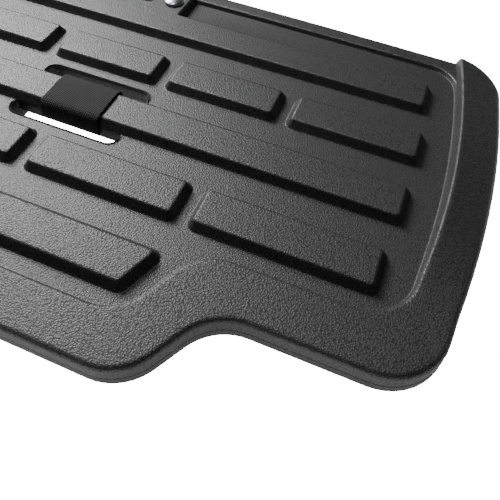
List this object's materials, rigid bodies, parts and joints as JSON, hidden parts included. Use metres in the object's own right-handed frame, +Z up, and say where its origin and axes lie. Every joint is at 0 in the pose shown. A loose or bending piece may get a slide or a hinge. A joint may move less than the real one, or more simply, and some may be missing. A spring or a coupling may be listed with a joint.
{
  "type": "tailgate step",
  "caption": "Low hollow plastic step board with raised treads, side lips, a projecting front tongue, a webbing pull strap and a rear steel hinge for a tailgate.",
  "frame": {"origin": "centre of the bounding box at the ground under the feet", "axes": "+X along the board's width to the right, +Y to the hinge at the rear, +Z up from the feet to the treads"},
  "size_m": [0.563, 0.3552, 0.0275],
  "materials": {
    "moulded_plastic": "fine haircell grain",
    "black_webbing": "woven nylon webbing",
    "slider_plastic": "satin moulded",
    "zinc_steel": "bright zinc plate",
    "aluminium_tube": "mill finish",
    "black_rubber": "matt"
  },
  "bodies": {
    "deck": {"deck_top_shell": "moulded_plastic", "deck_bottom_shell": "moulded_plastic", "rear_stiffener_tube": "aluminium_tube", "front_stiffener_tube": "aluminium_tube", "pull_strap": "black_webbing", "strap_slider": "slider_plastic", "hinge_bolt_right": "zinc_steel", "hinge_washer_right": "zinc_steel", "hinge_nut_right": "zinc_steel", "bolt_spacer_right": "zinc_steel", "hinge_bolt_left": "zinc_steel", "hinge_washer_left": "zinc_steel", "hinge_nut_left": "zinc_steel", "bolt_spacer_left": "zinc_steel", "hinge_deck_leaf": "zinc_steel", "hinge_pin": "zinc_steel", "shell_screw_1": "zinc_steel", "shell_screw_2": "zinc_steel", "shell_screw_3": "zinc_steel", "shell_screw_4": "zinc_steel", "shell_screw_5": "zinc_steel", "shell_screw_6": "zinc_steel", "shell_screw_7": "zinc_steel", "shell_screw_8": "zinc_steel", "shell_screw_9": "zinc_steel", "shell_screw_10": "zinc_steel", "rubber_foot_1": "black_rubber", "rubber_foot_2": "black_rubber", "rubber_foot_3": "black_rubber", "rubber_foot_4": "black_rubber", "rubber_foot_5": "black_rubber", "rubber_foot_6": "black_rubber"},
    "mount_leaf": {"hinge_mount_leaf": "zinc_steel"}
  },
  "joints": [
    {"name": "tailgate_hinge", "type": "hinge", "parent": "deck", "child": "mount_leaf", "pos_m": [0, 0.14255, 0.0092], "axis": [1, 0, 0], "range_deg": [-90, 100]}
  ]
}
